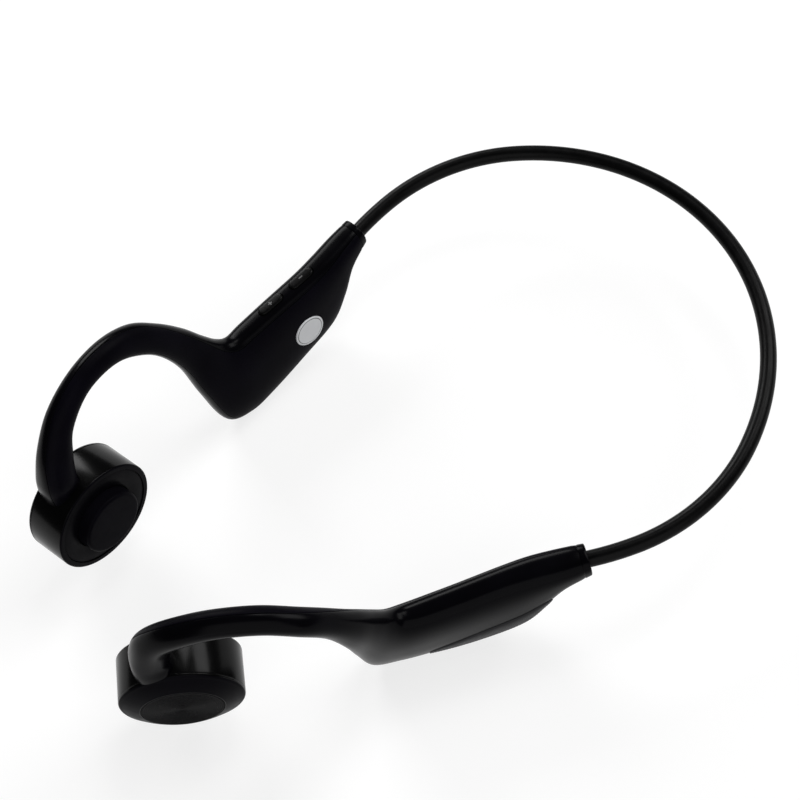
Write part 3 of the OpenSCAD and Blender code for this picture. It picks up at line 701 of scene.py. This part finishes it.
# Place along the stations, and how far in
END_LEVELS = (
    (0.0, 0.75), (0.004, 0.5), (0.014, 0.3), (0.032, 0.14), (0.056, 0.05), (0.085, 0.0),
    (0.16, 0.0), (0.25, 0.0), (0.3, 0.0), (0.322, 0.02), (PLUG_END - 0.003, 0.07),
    (PLUG_END - 0.002, WALL + SPIGOT_GAP), (PLUG_END + 0.12, WALL + SPIGOT_GAP),
)
for side in ("right", "left"):
    angles = arm_angles(count=96)
    rings = [from_arm(arm_ring(u, angles, deep), side) for u, deep in END_LEVELS]
    end = make_object(f"{side}_end_cap", *loft(rings))
    hole_outline = circle(BAND_D / 2 + SEAT_GAP, steps=64)
    cut(end, prism(
        f"{side}_band_hole", hole_outline, -BAND_CUT_REACH, BAND_CUT_REACH, lambda p: at_exit(p, side)
    ))
    place(end, "headset", "shell_black", f"{side}_end_plug")


# Neck band: one smooth run from pod to pod
REAR_RINGS, SIDE_RINGS, ENTRY_RINGS = 60, 44, 16


def band_row(turn):
    """Centre and outward way of the band at a turn from the middle of its bend."""
    a = abs(turn)
    if a <= TURN_1:
        centre, radius = CENTRE_1, REAR_RADIUS
    elif a <= TURN_2:
        centre, radius = CENTRE_2, SIDE_RADIUS
    else:
        centre, radius = CENTRE_3, ENTRY_RADIUS
    way = outward(a)
    at = centre + radius * way
    sign = 1 if turn >= 0 else -1
    return np.array([sign * at[0], at[1]]), np.array([sign * way[0], way[1]])


def band_rings(steps_round=56):
    stops = np.concatenate([
        np.linspace(0, TURN_1, REAR_RINGS)[:-1], np.linspace(TURN_1, TURN_2, SIDE_RINGS)[:-1],
        np.linspace(TURN_2, TURN_3, ENTRY_RINGS),
    ])
    turns = np.concatenate([-stops[::-1], stops[1:]])
    rows = [band_row(t) for t in turns]
    into = BAND_STUB * outward(TURN_3 + 90)
    ends = []
    for sign in (-1, 1):
        at, way = rows[0] if sign < 0 else rows[-1]
        ends.append((at + np.array([sign * into[0], into[1]]), way))
    rows = [ends[0]] + rows + [ends[1]]
    a = np.linspace(0, 2 * math.pi, steps_round, endpoint=False)
    r = BAND_D / 2
    rings = []
    for at, way in rows:
        flat = at + r * np.cos(a)[:, None] * way
        rings.append(np.concatenate([flat, (r * np.sin(a))[:, None]], axis=1))
    return rings


band = make_object("band", *loft([from_band(r, "left") for r in band_rings()]))
place(band, "headset", "band_silicone", "neck_band")


# Pucks: turned pieces
def lathe(name, profile, side, steps=144):
    """A turned piece; its profile of radius and height is closed on itself."""
    a = np.linspace(0, 2 * math.pi, steps, endpoint=False)
    rings = []
    for r, z in profile:
        rings.append(np.stack([r * np.cos(a), r * np.sin(a), np.full(steps, z)], axis=1))
    rings.append(rings[0])
    verts, faces = loft(rings, caps=False)
    return make_object(name, from_puck(verts, side), faces)


def arc(centre, radius, first, last, steps):
    a = np.radians(np.linspace(first, last, steps))
    return [(centre[0] + radius * math.cos(x), centre[1] + radius * math.sin(x)) for x in a]


TOP_Z = HALF_H + DOME_RISE
FLOOR_DOWN, FLOOR_T = 1.5, 0.8
FLOOR_Z = HALF_H - FLOOR_DOWN
RING_R = PUCK_R - PUCK_WALL
LEDGE, SKIRT = 0.8, 1.0
LEDGE_R = RING_R - LEDGE
TRIM_T, DISC_FLANGE, FLANGE_T, PRESS_SPARE = 1.2, 0.7, 0.6, 0.15
DISC_UNDER = FLOOR_Z + FLOOR_T + PRESS + PRESS_SPARE
STROKE, FACE_INSET, FACE_T = 0.2, 0.2, 0.9
FACE_Z = -HALF_H + FACE_INSET
PAD_FLANGE, PAD_FLANGE_T, PAD_ROUND = 0.6, 0.5, 0.8
PAD_FLANGE_Z = FACE_Z + FACE_T + STROKE + RUN_GAP
PAD_TOP = PAD_FLANGE_Z + PAD_FLANGE_T
SPRING_Z = PAD_TOP + STROKE + RUN_GAP
AXIS = 0.0
EDGE_LIP, DOME_GAP, DOME_UNDER, DOME_SAG = 0.05, 0.12, 0.01, 0.1
RIM_TURN, RING_EDGE = 75, 0.45
PAD_CROWN, PAD_UNDER, PAD_EDGE_UP, PAD_TURN = 0.1, 0.02, 0.06, -80
PAD_MIDDLE, PAD_MARGIN, PAD_RINGS = 1.0, 0.4, 10
SPUN_LOW_SHARE, SPUN_END_SHARE = 0.35, 0.7
# Small edge breaks: how far back from the wall, and how far from the end face
CAP_EDGE = ((0.1, 0.0), (0.03, 0.03))
TRIM_SEAT_EDGE, PRESS_SEAT_LIP, PRESS_SEAT_EDGE = 0.06, 0.03, 0.08
RING_TOP_EDGE = ((0.0, 0.18), (0.02, 0.1), (0.08, SEAT_GAP))
RING_INNER_EDGE = ((0.02, 0.1), (0.1, 0.0))
PLATE_INNER_EDGE = ((0.0, 0.16), (0.05, 0.05), (0.16, 0.0))
PLATE_OUTER_EDGE = ((0.2, 0.0), (0.06, 0.05), (0.0, 0.18))
DISC_EDGE = ((0.0, 0.2), (0.06, 0.05), (0.2, 0.0))


def dome(steps=14):
    """The cap's outer face from the rim to the disc, crowned a little."""
    rim = arc((PUCK_R - RIM_ROUND, HALF_H - RIM_ROUND), RIM_ROUND, 0, RIM_TURN, steps=12)
    r0, z0 = rim[-1]
    rest = []
    for t in np.linspace(0, 1, steps)[1:]:
        sag = DOME_SAG * math.sin(math.pi * t)
        rest.append((r0 + t * (DISC_R + DOME_GAP - r0), z0 + t * (TOP_Z - DOME_UNDER - z0) + sag))
    return rim + rest


def disc_grooves(radius, top, pitch=0.42, deep=0.05, plain=0.5):
    """Fine turned rings on the outer disc, with a plain edge and middle."""
    points = []
    r = radius - plain
    while r > plain:
        points += [(r, top), (r - pitch * SPUN_LOW_SHARE, top - deep), (r - pitch * SPUN_END_SHARE, top)]
        r -= pitch
    return points


FACING = 0.5


def second_finish(obj, finish, side, way):
    """Puts another finish on the faces that look along the puck's axis."""
    axis = from_puck([[0, 0, way]], side)[0] - from_puck([[0, 0, 0]], side)[0]
    obj.data.materials.append(finish)
    for poly in obj.data.polygons:
        if poly.normal.dot(Vector(axis)) > FACING:
            poly.material_index = 1


for side in ("right", "left"):
    wall = [(PUCK_R - back, PARTING + up) for back, up in CAP_EDGE]
    under = [(LEDGE_R, FLOOR_Z), (LEDGE_R, PARTING - SKIRT), (RING_R - SEAT_GAP, PARTING - SKIRT),
             (RING_R - SEAT_GAP, PARTING)]
    if side == "right":
        seat_r = DISC_R + SEAT_GAP
        seat = [(seat_r + EDGE_LIP, TOP_Z - DOME_UNDER), (seat_r, TOP_Z - TRIM_SEAT_EDGE),
                (seat_r, TOP_Z - TRIM_T), (AXIS, TOP_Z - TRIM_T)]
    else:
        seat_r = DISC_R + RUN_GAP
        seat = [(seat_r + EDGE_LIP, TOP_Z - PRESS_SEAT_LIP), (seat_r, TOP_Z - PRESS_SEAT_EDGE),
                (seat_r, DISC_UNDER + FLANGE_T + RUN_GAP),
                (seat_r + DISC_FLANGE, DISC_UNDER + FLANGE_T + RUN_GAP),
                (seat_r + DISC_FLANGE, FLOOR_Z + FLOOR_T), (AXIS, FLOOR_Z + FLOOR_T)]
    cap = lathe(f"{side}_cap", wall + dome() + seat + [(AXIS, FLOOR_Z)] + under, side)
    place(cap, "headset", "puck_black", f"{side}_puck_cap")
    # The cap's outer face takes the duller dome finish, with its painted blue-purple light colour.
    second_finish(cap, DOME_BLACK, side, 1)

    low, top = FACE_Z + FACE_T + SEAT_GAP, SPRING_Z - SEAT_GAP
    rim_low = arc((PUCK_R - RING_EDGE, -HALF_H + RING_EDGE), RING_EDGE, -90, 0, steps=8)
    body = [(RING_R + back, -HALF_H + up) for back, up in RING_INNER_EDGE] + rim_low
    body += [(PUCK_R - back, PARTING - down) for back, down in RING_TOP_EDGE]
    body += [(RING_R, PARTING - SEAT_GAP), (RING_R, top), (LEDGE_R, top), (LEDGE_R, low), (RING_R, low)]
    ring = place(lathe(f"{side}_ring", body, side), "headset", "puck_black", f"{side}_puck_ring")
    # The ring's front rim takes the duller dome finish too, with its painted blue-purple light colour.
    second_finish(ring, DOME_BLACK, side, -1)

    inner_r, outer_r = PAD_R + RUN_GAP, RING_R - SEAT_GAP
    plate = [(inner_r, FACE_Z + FACE_T)]
    plate += [(inner_r + back, FACE_Z + up) for back, up in PLATE_INNER_EDGE]
    plate += [(outer_r - back, FACE_Z + up) for back, up in PLATE_OUTER_EDGE]
    plate += [(outer_r, FACE_Z + FACE_T)]
    place(lathe(f"{side}_plate", plate, side), "headset", "face_black", f"{side}_face_plate")

    front = -HALF_H - PAD_PROUD
    pad = [(AXIS, PAD_TOP), (AXIS, front + PAD_UNDER)]
    for r in np.linspace(PAD_MIDDLE, PAD_R - PAD_ROUND - PAD_MARGIN, PAD_RINGS):
        pad.append((r, front + PAD_UNDER + PAD_CROWN * (r / PAD_R) ** 4))
    pad += arc((PAD_R - PAD_ROUND, front + PAD_ROUND + PAD_EDGE_UP), PAD_ROUND, PAD_TURN, 0, steps=9)
    pad += [(PAD_R, PAD_FLANGE_Z), (PAD_R + PAD_FLANGE, PAD_FLANGE_Z), (PAD_R + PAD_FLANGE, PAD_TOP)]
    place(lathe(f"{side}_pad", pad, side), f"{side}_pad", "pad_soft", f"{side}_contact_pad")

top_edge = [(DISC_R - back, TOP_Z - down) for back, down in DISC_EDGE]
grooves = disc_grooves(DISC_R, TOP_Z) + [(AXIS, TOP_Z)]
trim = [(AXIS, TOP_Z - TRIM_T + SEAT_GAP), (DISC_R, TOP_Z - TRIM_T + SEAT_GAP)] + top_edge + grooves
place(lathe("right_disc", trim, "right"), "headset", "spun_black", "right_trim_disc")

NUB_H, NUB_GAP, HOLLOW = 1.25, 0.05, 4.0
HOLLOW_Z = FLOOR_Z + FLOOR_T + NUB_H + PRESS + NUB_GAP
press_disc = [
    (AXIS, HOLLOW_Z), (HOLLOW, HOLLOW_Z), (HOLLOW, DISC_UNDER),
    (DISC_R + DISC_FLANGE, DISC_UNDER), (DISC_R + DISC_FLANGE, DISC_UNDER + FLANGE_T),
    (DISC_R, DISC_UNDER + FLANGE_T),
] + top_edge + grooves
place(lathe("left_disc", press_disc, "left"), "function_disc", "spun_black", "function_button")


# Volume buttons, their marks, the badge and the port cover
FLANGE, RIM, PROUD, BUTTON_SPARE = 0.5, 0.45, 0.45, 0.45
UNDER = WALL + RUN_GAP + BUTTON_SPARE


def crowned(name, outline_at, levels, to_part):
    """A solid through outlines that are set in level by level, closed by a small last outline."""
    verts, faces = loft([at_height(outline_at(inset), z) for inset, z in levels])
    return make_object(name, to_part(verts), faces)


# Levels of a crowned piece: how far its outline is set in, and its height
BUTTON_LEVELS = [
    (-RIM, -UNDER - FLANGE), (-RIM, -UNDER), (0.0, -UNDER), (0.0, PROUD - 0.4), (0.03, PROUD - 0.26),
    (0.1, PROUD - 0.13), (0.22, PROUD - 0.05), (0.4, PROUD - 0.015), (0.75, PROUD), (1.15, PROUD + 0.005),
]


def button_outline(inset):
    return stadium(BUTTON_L - 2 * inset, BUTTON_W - 2 * inset)


MARK_L, MARK_W, MARK_PROUD, MARK_SINK = 1.1, 0.3, 0.02, 0.1
for name, node, body, matrix in (
    ("plus", "volume_up_button", "volume_up", ON_PLUS),
    ("minus", "volume_down_button", "volume_down", ON_MINUS),
):
    button = crowned(f"{name}_button", button_outline, BUTTON_LEVELS, on(matrix))
    place(button, body, "button_black", node)
    half, thin = MARK_L / 2, MARK_W / 2
    if name == "plus":
        outline = [(thin, thin), (half, thin), (half, -thin), (thin, -thin), (thin, -half), (-thin, -half),
                   (-thin, -thin), (-half, -thin), (-half, thin), (-thin, thin), (-thin, half), (thin, half)]
    else:
        outline = [(thin, half), (thin, -half), (-thin, -half), (-thin, half)]
    mark = prism(f"{name}_mark", np.array(outline), PROUD - MARK_SINK, PROUD + MARK_PROUD, on(matrix))
    place(mark, body, "button_black")
    mark.data.materials.clear()
    mark.data.materials.append(MARK_GREY)

badge_r = BADGE_D / 2
GROOVE_FROM, GROOVE_TO, GROOVE_DEEP, GROOVE_SPARE, GROOVE_FACING = 0.48, 0.64, 0.05, 0.04, 0.2
BADGE_LEVELS = [
    (0.0, 0.0), (0.0, BADGE_T - 0.2), (0.04, BADGE_T - 0.09), (0.13, BADGE_T - 0.02), (0.26, BADGE_T),
    (GROOVE_FROM - 0.03, BADGE_T), (GROOVE_FROM, BADGE_T - GROOVE_DEEP), (GROOVE_TO, BADGE_T - GROOVE_DEEP),
    (GROOVE_TO + 0.03, BADGE_T), (1.4, BADGE_T + 0.01), (2.4, BADGE_T + 0.02), (3.4, BADGE_T + 0.025),
    (4.0, BADGE_T + 0.025),
]
badge = crowned("badge_disc", lambda inset: circle(badge_r - inset, steps=128), BADGE_LEVELS, on(AT_BADGE))
place(badge, "headset", "badge_silver", "badge")
badge.data.materials.append(BADGE_LINE)
badge_origin, badge_tip = (Vector(p * MM) for p in on(AT_BADGE)([[0, 0, 0], [0, 0, 1]]))
badge_out = (badge_tip - badge_origin).normalized()
for poly in badge.data.polygons:
    r = (poly.center - badge_origin).length / MM
    in_groove = badge_r - GROOVE_TO - GROOVE_SPARE < r < badge_r - GROOVE_FROM + GROOVE_SPARE
    if in_groove and poly.normal.dot(badge_out) > GROOVE_FACING:
        poly.material_index = 1

COVER_T, COVER_SINK, COVER_CORNER, CORNER_SHRINK = 1.2, 0.1, 0.7, 0.5
COVER_LEVELS = [
    (0.25, -COVER_SINK - COVER_T), (0.0, -COVER_SINK - COVER_T + 0.25), (0.0, -COVER_SINK - 0.3),
    (0.06, -COVER_SINK - 0.13), (0.18, -COVER_SINK - 0.04), (0.34, -COVER_SINK), (0.6, -COVER_SINK),
]


def cover_outline(inset):
    return rounded(COVER_L - 2 * inset, COVER_W - 2 * inset, COVER_CORNER - inset * CORNER_SHRINK)


cover = crowned("port_flap", cover_outline, COVER_LEVELS, on(ON_PORT))
place(cover, "cover", "cover_rubber", "port_cover")


# Grip panels: a leaf-shaped raised patch with a fine diamond grain
GRIP_FIRST, GRIP_LAST, GRIP_MID, GRIP_SPREAD, GRIP_POINT = 5 / 3, 5.0, -28.0, 21.0, 0.03
GRIP_PROUD, GRIP_FOOT = 0.62, -0.04
GRAIN_PITCH, GRAIN_DEEP = 0.7, 0.07
GRIP_CROWN_POWER, GRIP_SINK, GRIP_SMOOTH_ANGLE = 5, 0.05, 50.0


def grip_rows(rows=240, columns=64):
    """Points of the panel's grained top and of its foot inside the shell."""
    share = np.linspace(0, 1, rows)
    us = GRIP_FIRST + (GRIP_LAST - GRIP_FIRST) * share
    swell = np.sqrt(np.sin(math.pi * (GRIP_POINT + (1 - 2 * GRIP_POINT) * share)))
    across = np.linspace(-1, 1, columns)
    angles = GRIP_MID + GRIP_SPREAD * swell[:, None] * across
    base = np.array([arm_ring(u, angles[k], 0.0) for k, u in enumerate(us)])
    crown = np.sqrt(1 - np.abs(across) ** GRIP_CROWN_POWER)
    height = GRIP_FOOT + (GRIP_PROUD * swell[:, None] - GRIP_FOOT) * crown
    run = np.cumsum(np.linalg.norm(np.diff(base, axis=0, prepend=base[:1]), axis=2), axis=0)
    rise = np.cumsum(np.linalg.norm(np.diff(base, axis=1, prepend=base[:, :1]), axis=2), axis=1)
    rise = rise - rise[:, columns // 2, None]
    first, second = (np.sin(way * math.pi / GRAIN_PITCH) for way in (run + rise, run - rise))
    wave = np.abs(first * second)
    height = height - GRAIN_DEEP * crown ** 2 * (1 - wave)
    top = np.array([arm_ring(u, angles[k], -height[k]) for k, u in enumerate(us)])
    return top, np.array([arm_ring(u, angles[k], GRIP_SINK) for k, u in enumerate(us)])


for side in ("right", "left"):
    top, foot = grip_rows()
    rings = np.concatenate([top, foot[:, ::-1]], axis=1)
    n, m = rings.shape[:2]
    verts, faces = loft(from_arm(rings, side), caps=False)
    grip = make_object(f"{side}_grip", verts, faces + strip_caps(n, m), GRIP_SMOOTH_ANGLE)
    place(grip, "headset", "grip_black", f"{side}_grip_panel")


# The CAD nodes that stay get their slot's finish
node_slot = {row["node"]: row["material_slot"] for row in frame["record"]["subparts"]}
for name, obj in frame["nodes"].items():
    obj.data.materials.clear()
    obj.data.materials.append(MATERIALS[node_slot[name]])

# Stage, light and camera, in metres
FLOOR_REACH, FLOOR_BELOW, WORLD_GLOW = 6.0, 0.0002, 0.05
NEAR_GLOW, FAR_GLOW, FAR_FROM, FAR_TO = 0.74, 1.0, 0.3, 1.0
FLOOR_DARK, FLOOR_LIGHT = (0.29, 0.29, 0.29), (0.31, 0.31, 0.31)
LAMP_AIM = (0, 0, 0.02)
CAMERA_LENS, CAMERA_SENSOR = 78.494, 36.0
CAMERA_MM, CAMERA_TURN = (193.11, -41.28, 363.91), (29.071, 10.126, 60.449)

floor_mesh = bpy.data.meshes.new("floor")
floor_mesh.from_pydata(
    [(x * FLOOR_REACH, y * FLOOR_REACH, 0) for x, y in ((-1, -1), (1, -1), (1, 1), (-1, 1))],
    [], [(0, 1, 2, 3)],
)
floor = bpy.data.objects.new("floor", floor_mesh)
bpy.context.scene.collection.objects.link(floor)
floor.location.z = min(0.0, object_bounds()[0][2]) - FLOOR_BELOW
mat, tree, shader = new_material("floor_white")
shader.inputs["Roughness"].default_value = 0.9
shader.inputs["Specular IOR Level"].default_value = 0.1
tone = noise(tree, 3.0)
tree.links.new(blend(tree, tone, FLOOR_DARK, FLOOR_LIGHT), shader.inputs["Base Color"])
# The floor glows white for rays that look at it, a little less near the part, where its shadows fall
path = tree.nodes.new("ShaderNodeLightPath")
seen = path.outputs["Is Camera Ray"]
for ray in ("Is Glossy Ray", "Is Transmission Ray"):
    either = tree.nodes.new("ShaderNodeMath")
    either.operation = "MAXIMUM"
    tree.links.new(seen, either.inputs[0])
    tree.links.new(path.outputs[ray], either.inputs[1])
    seen = either.outputs[0]
glow = tree.nodes.new("ShaderNodeMath")
glow.operation = "MULTIPLY"
tree.links.new(seen, glow.inputs[0])
coord = tree.nodes.new("ShaderNodeTexCoord")
away = tree.nodes.new("ShaderNodeVectorMath")
away.operation = "LENGTH"
tree.links.new(coord.outputs["Object"], away.inputs[0])
strength = ramp(tree, away.outputs["Value"], NEAR_GLOW, FAR_GLOW, start=FAR_FROM, end=FAR_TO)
tree.links.new(strength, glow.inputs[1])
shader.inputs["Emission Color"].default_value = (1, 1, 1, 1)
tree.links.new(glow.outputs[0], shader.inputs["Emission Strength"])
floor_mesh.materials.append(mat)

world = bpy.data.worlds.new("studio")
bpy.context.scene.world = world
world.use_nodes = True
background = world.node_tree.nodes["Background"]
background.inputs["Color"].default_value = (1, 1, 1, 1)
background.inputs["Strength"].default_value = WORLD_GLOW


def softbox(name, at, size, power):
    light = bpy.data.lights.new(name, "AREA")
    light.shape = "RECTANGLE"
    light.size, light.size_y = size
    light.energy = power
    obj = bpy.data.objects.new(name, light)
    bpy.context.scene.collection.objects.link(obj)
    obj.location = at
    obj.rotation_euler = (Vector(LAMP_AIM) - Vector(at)).to_track_quat("-Z", "Y").to_euler()


softbox("key", (-0.84, 0.05, 0.5), (0.5, 0.35), 5.4)
softbox("top", (-0.22, 0.45, 0.87), (0.3, 0.3), 2.0)
softbox("rear", (0.0, 0.75, 0.6), (0.6, 0.4), 4.2)
softbox("fill", (0.85, -0.3, 0.45), (1.4, 1.2), 7.0)

camera = bpy.data.cameras.new("camera")
camera.lens = CAMERA_LENS
camera.sensor_width = CAMERA_SENSOR
eye = bpy.data.objects.new("camera", camera)
bpy.context.scene.collection.objects.link(eye)
eye.location = Vector(CAMERA_MM) * MM
eye.rotation_euler = Euler(tuple(math.radians(a) for a in CAMERA_TURN), "XYZ")
bpy.context.scene.camera = eye
bpy.context.scene.view_settings.view_transform = "Standard"
